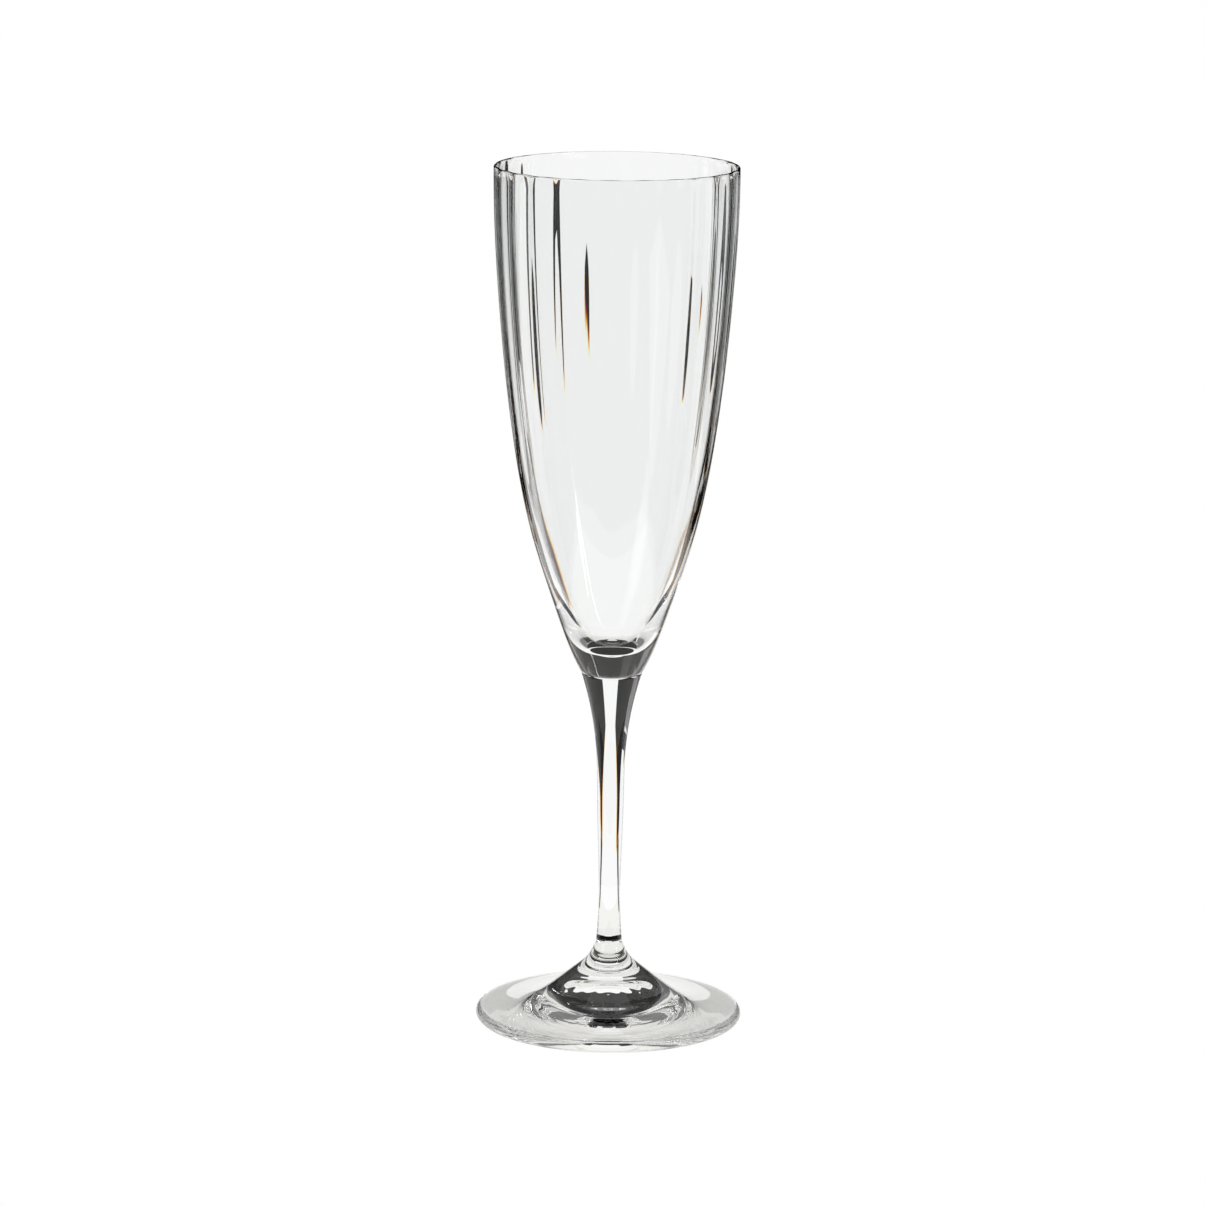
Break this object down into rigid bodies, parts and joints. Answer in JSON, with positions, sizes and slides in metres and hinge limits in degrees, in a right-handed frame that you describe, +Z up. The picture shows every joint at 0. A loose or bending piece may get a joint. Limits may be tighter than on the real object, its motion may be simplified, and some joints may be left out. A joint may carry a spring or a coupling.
{
  "type": "champagne flute",
  "caption": "Tall stemmed drinking glass with a tapering optic-ribbed bowl, a slim drawn stem and a wide low conical foot.",
  "frame": {"origin": "centre of the foot, on the plane that the foot rests on", "axes": "+Z up the axis of the glass, from the foot to the rim; +X and +Y are level, and +Y points away from the usual viewer"},
  "size_m": [0.0712, 0.0712, 0.23],
  "materials": {
    "bowl_glass": "clear, fire-polished",
    "stem_glass": "clear, fire-polished",
    "foot_glass": "clear, fire-polished"
  },
  "bodies": {
    "root": {"bowl": "bowl_glass", "stem": "stem_glass", "foot": "foot_glass"}
  },
  "joints": []
}
